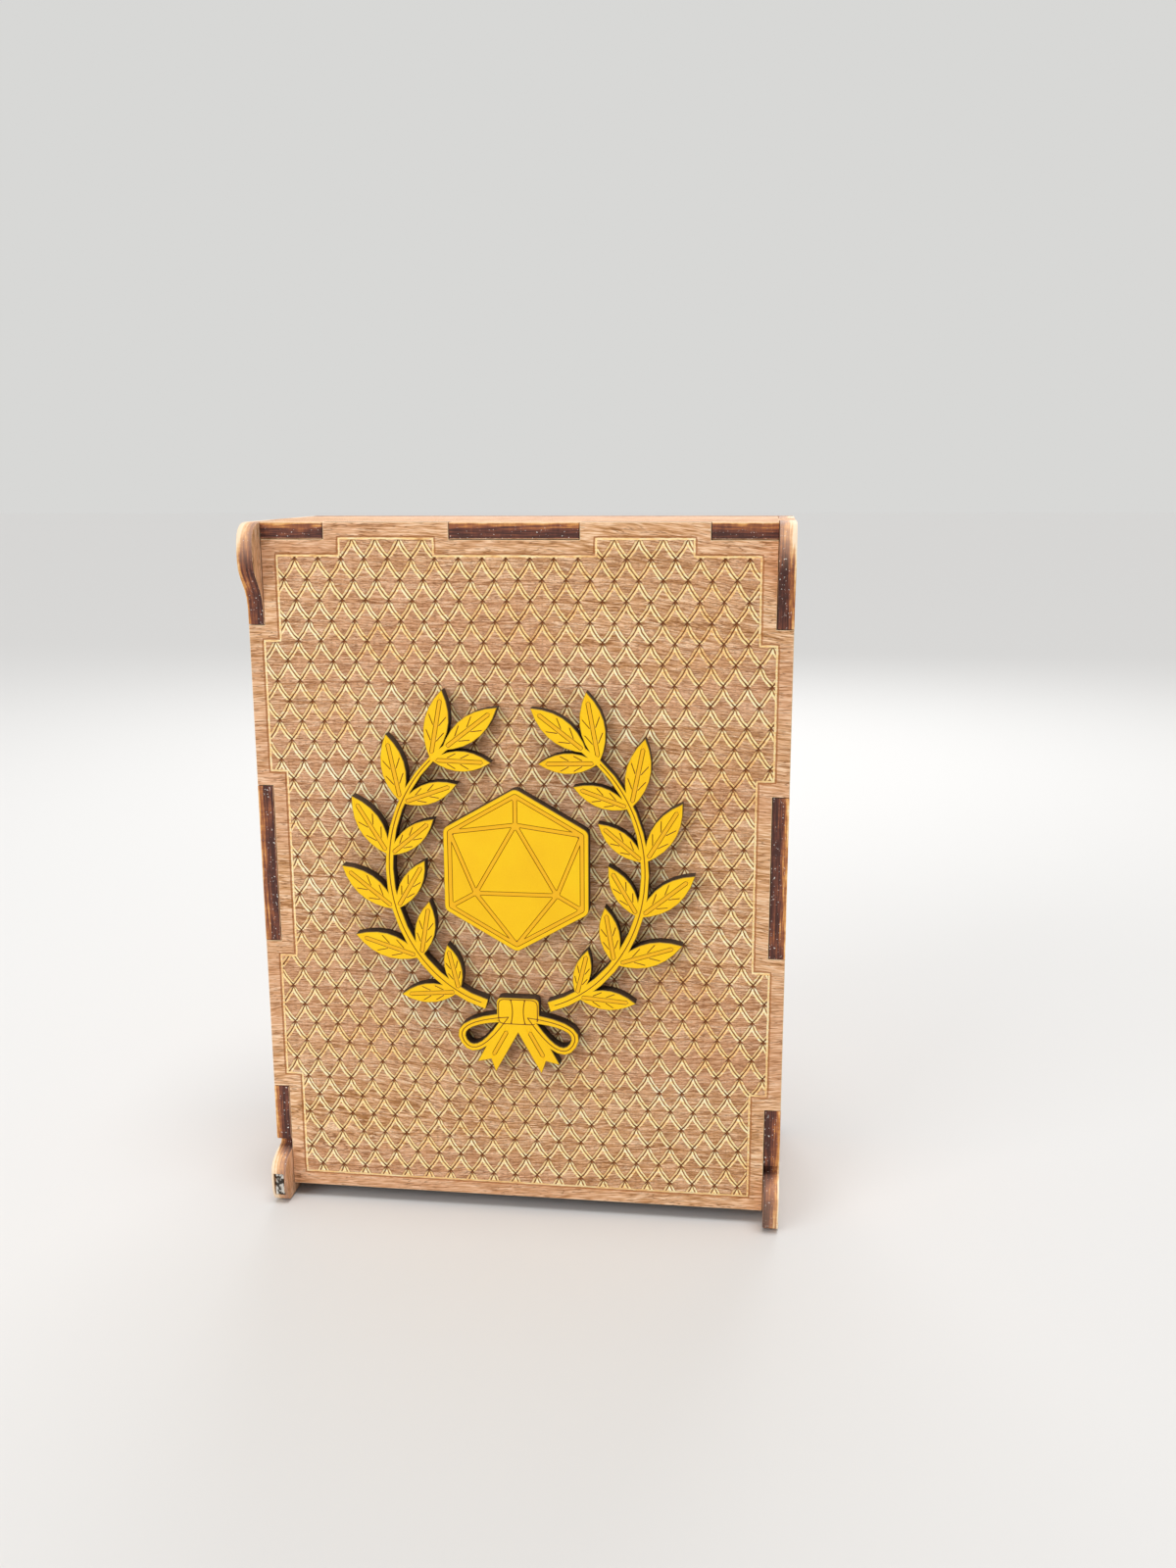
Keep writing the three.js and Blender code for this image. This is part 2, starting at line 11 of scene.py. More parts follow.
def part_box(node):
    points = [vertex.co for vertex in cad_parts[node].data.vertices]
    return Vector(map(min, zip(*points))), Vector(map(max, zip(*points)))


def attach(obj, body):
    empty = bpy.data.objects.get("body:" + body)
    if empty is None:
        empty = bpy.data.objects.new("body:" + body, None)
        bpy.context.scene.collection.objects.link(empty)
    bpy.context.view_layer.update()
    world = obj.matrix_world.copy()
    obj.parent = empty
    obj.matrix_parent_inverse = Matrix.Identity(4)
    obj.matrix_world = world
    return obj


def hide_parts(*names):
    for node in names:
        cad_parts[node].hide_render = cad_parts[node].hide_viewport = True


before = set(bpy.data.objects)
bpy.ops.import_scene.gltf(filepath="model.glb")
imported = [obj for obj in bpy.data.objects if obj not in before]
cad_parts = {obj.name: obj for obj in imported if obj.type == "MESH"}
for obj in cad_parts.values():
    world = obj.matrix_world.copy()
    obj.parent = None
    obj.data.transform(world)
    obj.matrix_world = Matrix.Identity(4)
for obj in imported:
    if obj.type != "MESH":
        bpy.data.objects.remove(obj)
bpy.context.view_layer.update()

# The viewpoint: close in front of the closed box and a little to its right, just above its top and looking
# slightly down at it, with the 1200 x 1600 frame held upright.
mm = 0.001
lens_width = 36.0
focal_pixels = 1425.0
frame_pixels = 1600.0
eye = Vector((48.46, -289.64, 153.09)) * mm
turn_left = math.radians(7.245)
look_down = math.radians(12.371)
roll = math.radians(-0.205)
nearest_seen = 10.0

viewfinder = bpy.data.cameras.new("viewfinder")
viewfinder.sensor_width = lens_width
viewfinder.lens = focal_pixels / frame_pixels * lens_width
viewfinder.clip_start = nearest_seen * mm
camera = bpy.data.objects.new("camera", viewfinder)
camera.location = eye
heading = Matrix.Rotation(turn_left, 3, "Z") @ Matrix.Rotation(math.pi / 2 - look_down, 3, "X")
camera.rotation_euler = (heading @ Matrix.Rotation(roll, 3, "Z")).to_euler()
bpy.context.scene.collection.objects.link(camera)
bpy.context.scene.camera = camera

# The tower's case: plain sheets of walnut-faced plywood, cut by laser, with tabs glued into slots. The faces
# are bare veneer with a fine wavy grain, and every cut edge is scorched, darkest at its inner side and golden
# at the outer one. The broken arrises carry a painted cream highlight.
sheet = 3.2
arris = 0.12
arris_steps = 2
arris_mark = 0.5
arris_limits = (0.2, 0.4)
arris_highlight_cover = (0.10, 0.65)
edge_limits = (0.55, 0.75)
face_facing = 0.97
edge_facing = 0.2
sharp_angle = math.radians(25)
flat_angle = math.radians(0.5)
weld_reach = 0.004
stock_length = 900
sway_pitch = (0.16, 0.30, 0.1)
sway_reach = 0.7
bow_pitch = (0.009, 0.022, 0.02)
bow_reach = 26.0
fibre_pitch = (0.26, 4.2, 0.5)
figure_pitch = (0.010, 0.34, 0.2)
figure_share = 0.38
veneer_shades = ((0.36, (168, 116, 64)), (0.45, (210, 157, 108)), (0.54, (236, 188, 146)),
                 (0.62, (254, 218, 180)))
drift_pitch = (0.012, 0.05, 0.1)
drift_limits = (0.42, 0.62)
drift_share = 0.25
drift_rosy = (216, 156, 128)
vessel_pitch = (0.30, 3.0, 0.5)
vessel_limits = (0.015, 0.06)
broken_pitch = (0.10, 0.55, 0.3)
broken_limits = (0.38, 0.58)
dash_share = 0.68
dash_relief = 0.6
dash_brown = (124, 74, 30)
streak_pitch = (0.12, 0.12, 2.4)
streak_weight = 1.4
smudge_pitch = (0.35, 0.35, 0.6)
smudge_weight = 0.45
cut_line_pitch = (1.6, 1.6, 0.35)
cut_line_weight = 0.25
ply_rises = ((0.55, 0.72, 0.18), (0.84, 0.97, 0.20))
outward_rise = 0.26
char_level = 0.95
char_shades = ((0.08, (76, 46, 40)), (0.30, (114, 66, 52)), (0.50, (162, 98, 62)), (0.68, (218, 152, 84)),
               (0.86, (246, 204, 146)), (1.00, (255, 240, 208)))
# Paler cut edges: on the feet, and on the ear tops as painted light from above.
paling_rise = (0.20, 0.65)
paling_cover = (0.30, 0.60)
paling_tan = (234, 198, 170)
fleck_pitch = (2.6, 2.6, 2.6)
fleck_limits = (0.69, 0.73)
fleck_cover = (1.1, 0.1)
lint_white = (238, 230, 220)
# Painted highlight laid along the broken arrises.
arris_highlight_cream = (250, 226, 184)
wood_look = {"Roughness": 0.65, "Specular IOR Level": 0.25, "Sheen Weight": 0.05, "Sheen Roughness": 0.4}
grain_bump = 0.4
grain_height = 0.12


def paint(shade):
    """A colour written as it looks, 0 to 255, as a shader's linear colour"""
    shares = [c / 255 for c in shade]
    return [s / 12.92 if s <= 0.04045 else ((s + 0.055) / 1.055) ** 2.4 for s in shares] + [1.0]


class Amount:
    """A number that varies over a surface and can be added, multiplied and so on like a plain one"""

    def __init__(self, tree, socket):
        self.tree = tree
        self.socket = socket

    def by(self, operation, *others):
        node = put(self.tree, "ShaderNodeMath", enumerate([self, *others]), operation=operation)
        return Amount(self.tree, node.outputs[0])

    def __add__(self, other):
        return self.by("ADD", other)

    def __sub__(self, other):
        return self.by("SUBTRACT", other)

    def __rsub__(self, other):
        return self * -1.0 + other

    def __mul__(self, other):
        return self.by("MULTIPLY", other)

    def __truediv__(self, other):
        return self.by("DIVIDE", other)

    def __mod__(self, other):
        return self.by("FLOORED_MODULO", other)

    def __pow__(self, other):
        return self.by("POWER", other)

    def __abs__(self):
        return self.by("ABSOLUTE")

    def rise(self, low, high):
        """0 below the low limit, 1 above the high one and a smooth rise between them"""
        sockets = {"Value": self, 1: low, 2: high}
        node = put(self.tree, "ShaderNodeMapRange", sockets, interpolation_type="SMOOTHSTEP")
        return Amount(self.tree, node.outputs[0])

    def band(self, low, high, soft):
        """1 between two limits and 0 outside them"""
        return self.rise(low - soft, low + soft) - self.rise(high - soft, high + soft)


def put(tree, kind, inputs=(), **settings):
    """A shader node with its settings; its inputs are values, amounts or other nodes' sockets"""
    node = tree.nodes.new(kind)
    for key, value in settings.items():
        setattr(node, key, value)
    for key, value in dict(inputs).items():
        value = value.socket if isinstance(value, Amount) else value
        if isinstance(value, bpy.types.NodeSocket):
            tree.links.new(value, node.inputs[key])
        else:
            node.inputs[key].default_value = value
    return node


def measured(tree, name):
    """The three amounts that a surface carries under a name"""
    vector = put(tree, "ShaderNodeAttribute", attribute_name=name).outputs["Vector"]
    return [Amount(tree, socket) for socket in put(tree, "ShaderNodeSeparateXYZ", {0: vector}).outputs]


def cloud(place, pitch, detail=2.0, roughness=0.5):
    """Soft noise round 0.5; its pitch is how many lumps it has per mm along each of three directions"""
    tree = place[0].tree
    stretched = put(tree, "ShaderNodeCombineXYZ", {i: place[i] * pitch[i] for i in range(3)}).outputs[0]
    sockets = {"Vector": stretched, "Scale": 1.0, "Detail": detail, "Roughness": roughness}
    return Amount(tree, put(tree, "ShaderNodeTexNoise", sockets).outputs[0])


def lay_over(share, under, over):
    """One colour laid over another by a share"""
    sockets = {0: share, 6: under, 7: paint(over) if isinstance(over, tuple) else over}
    return put(share.tree, "ShaderNodeMix", sockets, data_type="RGBA").outputs[2]


def shades(amount, stops):
    """The colours that an amount meets in turn as it grows"""
    node = put(amount.tree, "ShaderNodeValToRGB", {0: amount})
    ramp = node.color_ramp.elements
    ramp[0].position = stops[0][0]
    ramp[1].position = stops[-1][0]
    for place, _ in stops[1:-1]:
        ramp.new(place)
    for mark, (_, shade) in zip(ramp, stops):
        mark.color = paint(shade)
    return node.outputs[0]


def blend_of(share, low, high):
    """An amount that goes from a low to a high one by a share"""
    return Amount(share.tree, put(share.tree, "ShaderNodeMix", {0: share, 2: low, 3: high}).outputs[0])


def veneer(place, figured=figure_share):
    """Colour and relief of bare veneer; place runs along the grain, across it and through the sheet"""
    along, across, through = place
    sway = cloud(place, sway_pitch)
    bow = cloud(place, bow_pitch, 1.0)
    bent = (along, across + sway * sway_reach + bow * bow_reach, through)
    fibre = cloud(bent, fibre_pitch, 2.0, 0.65)
    figure = cloud(bent, figure_pitch, 3.0, 0.6)
    drift = cloud(place, drift_pitch)
    vessel = cloud(bent, vessel_pitch, 1.0)
    broken = cloud(bent, broken_pitch, 2.0, 0.7)
    colour = shades(fibre * (1.0 - figured) + figure * figured, veneer_shades)
    colour = lay_over(drift.rise(*drift_limits) * drift_share, colour, drift_rosy)
    dashes = (1.0 - abs(vessel - 0.5).rise(*vessel_limits)) * broken.rise(*broken_limits)
    colour = lay_over(dashes * dash_share, colour, dash_brown)
    return colour, fibre - dashes * dash_relief


def scorched_edge(place, paling):
    """Colour and relief of a laser-cut edge; paling is how much paler it is painted, as painted light on ear
    tops
    """
    depth = place[2] / sheet
    streak = cloud(place, streak_pitch, 3.0, 0.6)
    smudge = cloud(place, smudge_pitch)
    cut_line = cloud(place, cut_line_pitch)
    fleck = cloud(place, fleck_pitch, 1.0)
    light = depth * outward_rise + paling * blend_of(depth, *paling_rise) - char_level
    for low, high, step in ply_rises:
        light = light + depth.rise(low, high) * step
    light = light + streak * streak_weight + smudge * smudge_weight + cut_line * cut_line_weight
    colour = lay_over(paling * blend_of(depth, *paling_cover), shades(light, char_shades), paling_tan)
    colour = lay_over(fleck.rise(*fleck_limits) * blend_of(depth, *fleck_cover), colour, lint_white)
    return colour, cut_line + streak


def new_finish(name):
    """A material and its empty tree of nodes"""
    finish = bpy.data.materials.new(name)
    finish.use_nodes = True
    finish.node_tree.nodes.clear()
    return finish, finish.node_tree


def shade_with(tree, sockets, relief=None, bump=0.0, height=0.0):
    """Ends a finish in one shader, with its relief as a bump whose height is in mm"""
    if relief:
        bumped = put(tree, "ShaderNodeBump", {"Height": relief, "Strength": bump, "Distance": height * mm})
        sockets = {**sockets, "Normal": bumped.outputs[0]}
    shader = put(tree, "ShaderNodeBsdfPrincipled", sockets)
    tree.links.new(shader.outputs[0], put(tree, "ShaderNodeOutputMaterial").inputs[0])


def wood_finish(name, face_of):
    """Veneer faces, as face_of gives them, with scorched edges and a painted cream highlight on the arrises
    """
    finish, tree = new_finish(name)
    place = measured(tree, "stock")
    cut, paling, _ = measured(tree, "edge")
    face, face_relief = face_of(tree, place)
    edge, edge_relief = scorched_edge(place, paling)
    on_edge = cut.rise(*edge_limits)
    on_arris = cut.rise(*arris_limits) - on_edge
    colour = lay_over(on_edge, face, edge)
    # Painted highlight: cream on the arrises, stronger towards the sheet's outer face.
    colour = lay_over(on_arris * blend_of(place[2] / sheet, *arris_highlight_cover), colour, arris_highlight_cream)
    relief = blend_of(on_edge, face_relief, edge_relief)
    shade_with(tree, {**wood_look, "Base Color": colour}, relief, grain_bump, grain_height)
    return finish


walnut_ply = wood_finish("walnut_ply", lambda tree, place: veneer(place))


def listed(items, label, kind, width):
    """One property of all of a mesh's items, as an array"""
    values = np.zeros(len(items) * width, kind)
    items.foreach_get(label, values)
    return values.reshape(-1, width) if width > 1 else values


def mark_sheet(mesh, out, along, seed, paling):
    """Gives a sheet's corners their place in the stock, in mm, and marks and smooths its cut edges"""
    places = listed(mesh.vertices, "co", np.float32, 3) / mm
    shift = random.Random(seed)
    stock = places @ np.array([along, out.cross(along), out]).T
    stock += (shift.uniform(0, stock_length), shift.uniform(0, stock_length), -stock[:, 2].min())
    mesh.attributes.new("stock", "FLOAT_VECTOR", "POINT").data.foreach_set("vector", stock.ravel())
    flatness = np.abs(listed(mesh.polygons, "normal", np.float32, 3) @ np.array(out))
    cut = np.select([flatness > face_facing, flatness < edge_facing], [0.0, 1.0], arris_mark)
    corners = listed(mesh.loops, "vertex_index", np.int32, 1)
    if "rim" in mesh.attributes:
        at_rim = listed(mesh.attributes["rim"].data, "value", np.float32, 1)[corners]
        cut *= np.maximum.reduceat(at_rim, listed(mesh.polygons, "loop_start", np.int32, 1))
    mesh.polygons.foreach_set("use_smooth", cut == 1.0)
    mesh.set_sharp_from_angle(angle=sharp_angle)
    edge = np.zeros((len(corners), 3), np.float32)
    edge[:, 0] = np.repeat(cut, listed(mesh.polygons, "loop_total", np.int32, 1))
    edge[:, 1] = paling(places[corners, 2])
    mesh.attributes.new("edge", "FLOAT_VECTOR", "CORNER").data.foreach_set("vector", edge.ravel())


def ride_in_place_of(piece, node, body):
    """Puts the piece in the place of a part of the frame, to move with its body"""
    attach(piece, body)
    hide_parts(node)


def link_piece(name, mesh, finish):
    """The mesh as a piece of the scene, with its finish on it"""
    piece = bpy.data.objects.new(name, mesh)
    bpy.context.scene.collection.objects.link(piece)
    mesh.materials.append(finish)
    return piece


def eased_form(node, radius, steps):
    """The frame's solid with its sharp edges rounded off"""
    form = bmesh.new()
    form.from_mesh(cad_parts[node].data)
    bmesh.ops.remove_doubles(form, verts=form.verts, dist=weld_reach * mm)
    bmesh.ops.dissolve_limit(form, angle_limit=flat_angle, verts=form.verts, edges=form.edges)
    edges = [e for e in form.edges if len(e.link_faces) == 2 and e.calc_face_angle() > sharp_angle]
    bmesh.ops.bevel(form, geom=edges, offset=radius * mm, segments=steps, profile=0.5,
                    affect="EDGES", clamp_overlap=True)
    return form


def mesh_of(form, name):
    """The form turned into a mesh"""
    mesh = bpy.data.meshes.new(name)
    form.to_mesh(mesh)
    form.free()
    return mesh


def unpaled(height):
    """No paling at any height"""
    return np.zeros_like(height)


def laser_cut_sheet(node, body, out, along, seed, paling=unpaled):
    """A plain sheet: the frame's outline with its arrises just broken"""
    mesh = mesh_of(eased_form(node, arris, arris_steps), node + "_sheet")
    mark_sheet(mesh, out, along, seed, paling)
    piece = link_piece(node + "_sheet", mesh, walnut_ply)
    ride_in_place_of(piece, node, body)


rightwards = Vector((1, 0, 0))
backwards = Vector((0, 1, 0))
upwards = Vector((0, 0, 1))
laser_cut_sheet("tower_back_panel", "tower", backwards, rightwards, 1)
laser_cut_sheet("tower_front_wall", "tower", -backwards, rightwards, 2)
laser_cut_sheet("tower_side_left", "tower", -rightwards, upwards, 3)
laser_cut_sheet("tower_side_right", "tower", rightwards, upwards, 4)
laser_cut_sheet("tower_base", "tower", upwards, rightwards, 5)

# The two baffles and the exit ramp: sheets of the same plywood set at 45 degrees between the tower's sides,
# each held by a tab at either end that shows through its slot.
forwards_up = Vector((0, -1, 1)).normalized()
backwards_up = Vector((0, 1, 1)).normalized()
laser_cut_sheet("baffle_upper", "tower", forwards_up, rightwards, 6)
laser_cut_sheet("baffle_lower", "tower", backwards_up, rightwards, 7)
laser_cut_sheet("exit_ramp", "tower", forwards_up, rightwards, 8)

# The tray's side walls and end wall: the same plywood. Their front edges show as fingers between the panel's
# tabs, and end in rounded ears at the top and rounded feet at the bottom. Their cut edges are painted paler
# on the feet, and on the ear tops paler still, as painted light falling from above.
ear_top_light = (136.5, 142.5)
foot_paler = (10.2, 11.4)
left_foot_share = 0.8
right_foot_share = 0.35


def edge_paling(foot_share):
    """How much paler a side wall's edge is painted at each height; on the ear tops it is painted light from
    above
    """
    return lambda height: np.interp(height, (*foot_paler, *ear_top_light), (foot_share, 0.0, 0.0, 1.0))


laser_cut_sheet("tray_side_left", "tray", -rightwards, upwards, 9, edge_paling(left_foot_share))
laser_cut_sheet("tray_side_right", "tray", rightwards, upwards, 10, edge_paling(right_foot_share))
laser_cut_sheet("tray_end_wall", "tray", upwards, rightwards, 11)

# The front panel, which is the tray's floor: the same plywood with its face engraved by the laser. Rows of
# pointed scales hang from each other inside a border that follows the fingered outline. Each line is a
# scorched cut between two strips where the burnt-off veneer shows the golden wood below.
border_inset = 2.95
border_half_width = 0.42
border_margin = 0.06
scale_pitch = 4.70
row_pitch = 4.055
top_row = 133.9
top_row_start = 0.74
bend_right = 1.7
bend_left = 1.5
wrap_share = 0.25
line_rows = (0.17, 0.31, 0.45)
line_profile = ((0.0, 0.17), (0.17, 0.08), (0.31, 0.07), (0.45, 0.0))
line_clear_share = 0.9
border_profile = ((-0.42, 0.0), (-0.30, 0.11), (-0.12, 0.13), (0.08, 0.08), (0.30, 0.07), (0.42, 0.0))
border_reach = 3
stations = 7
probes = 81
least_probes = 4
edge_step = 3.0
border_step = 1.2
rim_clear_share = 0.85
least_mitre = 0.35
straight = 1e-3
smallest_run = 1e-6
same_place = 1e-5
wander_pitch = (0.8, 0.8, 0.1)
wander_reach = 0.30
border_wander = 0.25
stray_pitch = (0.35, 1.1, 0.1)
stray_reach = 0.22
panel_figure_share = 0.18
field_limits = (0.36, 0.46)
field_brown = (154, 100, 62)
field_brown_share = 0.08
speck_pitch = (0.8, 4.6, 0.3)
speck_limits = (0.02, 0.06)
field_dash = (112, 62, 22)
field_dash_share = 0.48
glow_pitch = (0.05, 0.06, 0.1)
glow_share = 0.45
grit_pitch = (0.5, 2.6, 0.1)
# Lit and shaded copies of the engraving's colours: lines falling to the right are painted lit, those falling
# to the left painted shaded.
lit_gold_shades = ((0.34, (248, 192, 112)), (0.50, (255, 234, 170)), (0.66, (255, 250, 216)))
shaded_gold_shades = ((0.34, (236, 172, 98)), (0.50, (255, 220, 154)), (0.66, (255, 244, 200)))
shaded_gold_share = 0.9
gold_limits = (0.26, 0.42)
strip_band = (0.15, 0.50, 0.05)
begun_limits = (0.08, 0.24)
# A band on each line's upper side, partly smoke and partly painted shadow.
smoke_and_shadow_tan = (164, 104, 66)
smoke_and_shadow_band = (0.52, 0.70, 0.06)
smoke_and_shadow_share = 0.55
groove_limits = (0.07, 0.17)
lit_groove_olive = (142, 84, 28)
lit_groove_share = 0.8
shaded_groove_brown = (118, 62, 20)
shaded_groove_share = 0.95
cross_lean = math.radians(43)
cross_width = (0.07, 0.20)
cross_reach = (0.50, 1.30)
cross_brown = (106, 54, 16)
cross_share = 0.95
border_orange = (166, 102, 50)
border_groove_band = (-0.38, -0.04, 0.06)
border_groove_share = 0.75
border_strip_band = (0.02, 0.36, 0.05)
border_gold_limits = (0.30, 0.44)


def past_scale_lines(x, z):
    """Distances from the lines that fall to the right and to the left, positive on their upper side, and the
    share of its row that a place has fallen"""
    rows = (top_row - z) / row_pitch
    fallen = rows % 1.0
    columns = (x - top_row_start) / scale_pitch - (rows - fallen) % 2.0 / 2.0
    past = []
    for column, bend in ((columns, bend_right), (0.0 - columns, bend_left)):
        gap = (column + wrap_share) % 1.0 - wrap_share - fallen ** bend / 2.0
        slope = fallen ** (bend - 1.0) * (bend * scale_pitch / 2.0 / row_pitch)
        past.append(gap * scale_pitch / (slope * slope + 1.0) ** 0.5)
    return past[0], past[1], fallen


def from_crossing(x, z):
    """How far a place lies from the nearest crossing of the lines, sideways and in height"""
    rows = (top_row - z) / row_pitch + 0.5
    height = rows % 1.0
    columns = (x - top_row_start) / scale_pitch - (rows - height) % 2.0 / 2.0 + 0.5
    return (columns % 1.0 - 0.5) * scale_pitch, (height - 0.5) * row_pitch


def outline_rings(node, facing):
    """Outlines of the flat face of a part of the frame that faces one way, as rings of x and z in mm"""
    form = bmesh.new()
    form.from_mesh(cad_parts[node].data)
    bmesh.ops.remove_doubles(form, verts=form.verts, dist=weld_reach * mm)
    follow = {}
    for face in form.faces:
        if face.normal.dot(facing) < face_facing:
            continue
        for loop in face.loops:
            others = [f for f in loop.edge.link_faces if f != face]
            if others and others[0].normal.dot(facing) < face_facing:
                follow[loop.vert.index] = loop.link_loop_next.vert.index
    places = [(v.co.x / mm, v.co.z / mm) for v in form.verts]
    form.free()
    rings = []
    while follow:
        start, here = follow.popitem()
        ring = [start]
        while here != start:
            ring.append(here)
            here = follow.pop(here)
        rings.append(without_straight_points(np.array([places[i] for i in ring])))
    return sorted(rings, key=len, reverse=True)


def without_straight_points(ring):
    """The ring without points that lie on a straight run"""
    before = ring - np.roll(ring, 1, axis=0)
    after = np.roll(ring, -1, axis=0) - ring
    turning = before[:, 0] * after[:, 1] - before[:, 1] * after[:, 0]
    return ring[np.abs(turning) > straight * np.hypot(*before.T) * np.hypot(*after.T)]


def stepped(ring, step):
    """The ring with points added so that no side is longer than the step"""
    points = []
    for start, end in zip(ring, np.roll(ring, -1, axis=0)):
        count = max(1, math.ceil(math.dist(start, end) / step))
        points += [start + (end - start) * i / count for i in range(count)]
    return np.array(points)


def drawn_in(ring, inset):
    """A ring moved towards the wood, which lies on its left hand"""
    before = ring - np.roll(ring, 1, axis=0)
    after = np.roll(ring, -1, axis=0) - ring
    before = before / np.hypot(*before.T)[:, None]
    after = after / np.hypot(*after.T)[:, None]
    middle = np.stack([-(before + after)[:, 1], (before + after)[:, 0]], axis=1)
    middle /= np.maximum(np.hypot(*middle.T), smallest_run)[:, None]
    cosine = np.maximum(middle[:, 0] * -after[:, 1] + middle[:, 1] * after[:, 0], least_mitre)
    return ring + middle * (inset / cosine)[:, None]


def inside(points, rings):
    """Which points lie inside the rings, by counting crossings"""
    hits = np.zeros(len(points), int)
    for ring in rings:
        for (x0, z0), (x1, z1) in zip(ring, np.roll(ring, -1, axis=0)):
            if z0 == z1:
                continue
            spans = (points[:, 1] >= min(z0, z1)) & (points[:, 1] < max(z0, z1))
            crossing = x0 + (points[:, 1] - z0) * (x1 - x0) / (z1 - z0)
            hits += spans & (points[:, 0] < crossing)
    return hits % 2 == 1


def gap_to(points, chains, batch=2000):
    """Distance from each point to the nearest of the chains of straight runs"""
    start = np.concatenate([chain[:-1] for chain in chains])
    run = np.concatenate([chain[1:] for chain in chains]) - start
    reach = np.maximum((run ** 2).sum(axis=1), smallest_run ** 2)
    nearest = []
    for first in range(0, len(points), batch):
        from_start = points[first:first + batch, None] - start
        share = np.clip((from_start * run).sum(axis=2) / reach, 0.0, 1.0)
        nearest.append(np.hypot(*np.moveaxis(from_start - share[:, :, None] * run, 2, 0)).min(axis=1))
    return np.concatenate(nearest)


def closed(ring):
    """The ring as a chain that ends where it starts"""
    return np.concatenate([ring, ring[:1]])


def beside(chains, offset):
    """The points of chains of equal length moved to their left hand"""
    run = np.gradient(chains, axis=-2)
    run /= np.maximum(np.hypot(run[..., 0], run[..., 1]), smallest_run)[..., None]
    return chains + np.stack([-run[..., 1], run[..., 0]], axis=-1) * offset


def carved_board(name, rings, front, thickness, points, joined, depth_of):
    """A board with a carved front. Its outlines are rings, points and joined pairs of them lie along the
    carving, and depth_of gives the carving's depth at any places"""
    outline = [stepped(ring, edge_step) for ring in rings]
    rim = np.concatenate(outline)
    inner = np.concatenate([drawn_in(ring, arris) for ring in outline])
    clear = gap_to(inner, [closed(ring) for ring in outline]) > arris * rim_clear_share
    clear &= inside(inner, rings)
    rim_pairs = []
    for ring in outline:
        first = len(rim_pairs)
        rim_pairs += [(first + i, first + (i + 1) % len(ring)) for i in range(len(ring))]
    order = np.cumsum(clear) - 1 + len(rim)
    inner_pairs = [(order[a], order[b]) for a, b in rim_pairs if clear[a] and clear[b]]
    inner = inner[clear]

    def face(loose, pairs):
        """One side of the board in flat triangles, and which of its places are on the rim"""
        flat = np.concatenate([rim, inner, loose]) if len(loose) else np.concatenate([rim, inner])
        shift = len(rim) + len(inner)
        lines = rim_pairs + inner_pairs + [(a + shift, b + shift) for a, b in pairs]
        made = delaunay_2d_cdt([Vector(p) for p in flat.tolist()], lines, [], 1, same_place)
        places = np.array([tuple(p) for p in made[0]])
        triangles = np.array(made[2])
        triangles = triangles[inside(places[triangles].mean(axis=1), rings)]
        on_rim = {s: i for i, sources in enumerate(made[3]) for s in sources if s < len(rim)}
        return places, triangles, on_rim

    places, triangles, top_rim = face(points, joined)
    depths = depth_of(places)
    depths[list(top_rim.values())] = arris
    back_places, back_triangles, back_rim = face(np.zeros((0, 2)), [])
    back = np.full(len(back_places), thickness)
    back[list(back_rim.values())] -= arris
    base = len(places)
    solid = [(x * mm, (front + y) * mm, z * mm)
             for (x, z), y in zip(np.concatenate([places, back_places]), np.concatenate([depths, back]))]
    faces = [tuple(t) for t in triangles.tolist()]
    faces += [(a + base, c + base, b + base) for a, b, c in back_triangles.tolist()]
    faces += [(top_rim[a], back_rim[a] + base, back_rim[b] + base, top_rim[b]) for a, b in rim_pairs]
    mesh = bpy.data.meshes.new(name)
    mesh.from_pydata(solid, [], faces)
    at_rim = np.zeros(len(solid), np.float32)
    at_rim[[*top_rim.values(), *(base + i for i in back_rim.values())]] = 1.0
    mesh.attributes.new("rim", "FLOAT", "POINT").data.foreach_set("value", at_rim)
    form = bmesh.new()
    form.from_mesh(mesh)
    bmesh.ops.delete(form, geom=[v for v in form.verts if not v.link_faces], context="VERTS")
    bmesh.ops.recalc_face_normals(form, faces=form.faces)
    form.to_mesh(mesh)
    form.free()
    return mesh


def write_plan(mesh, amounts_at):
    """Writes three amounts to each point of a board, worked out from its x and z in mm"""
    places = np.array([(v.co.x / mm, v.co.z / mm) for v in mesh.vertices])
    layer = mesh.attributes.new("plan", "FLOAT_VECTOR", "POINT")
    layer.data.foreach_set("vector", np.stack(amounts_at(places), axis=1).astype(np.float32).ravel())


def scale_line(x, row, side, bend, fallen):
    """Places on a line that falls to one side from a crossing, one for each share of the row it has fallen"""
    aside = side * scale_pitch / 2 * fallen ** bend
    return np.stack([x + aside, top_row - row_pitch * (row + fallen)], axis=1)


def scale_chains(region):
    """The lines of the scales inside a ring: two fall from each crossing, steep first and then shallow"""
    low_x, low_z = region.min(axis=0) - scale_pitch
    high_x, high_z = region.max(axis=0) + scale_pitch
    rows_up = math.ceil((high_z - top_row) / row_pitch)
    rows_down = math.ceil((top_row - low_z) / row_pitch)
    fine = np.linspace(0, 1, probes)
    chains = []
    for row in range(-rows_up, rows_down + 1):
        start = top_row_start + (row % 2) * scale_pitch / 2
        first = math.ceil((low_x - start) / scale_pitch)
        last = math.floor((high_x - start) / scale_pitch)
        for column in range(first, last + 1):
            for side, bend in ((1, bend_right), (-1, bend_left)):
                line = (start + column * scale_pitch, row, side, bend)
                within = fine[inside(scale_line(*line, fine), [region])]
                if len(within) > least_probes:
                    chains.append(scale_line(*line, np.linspace(within[0], within[-1], stations + 1)))
    return chains


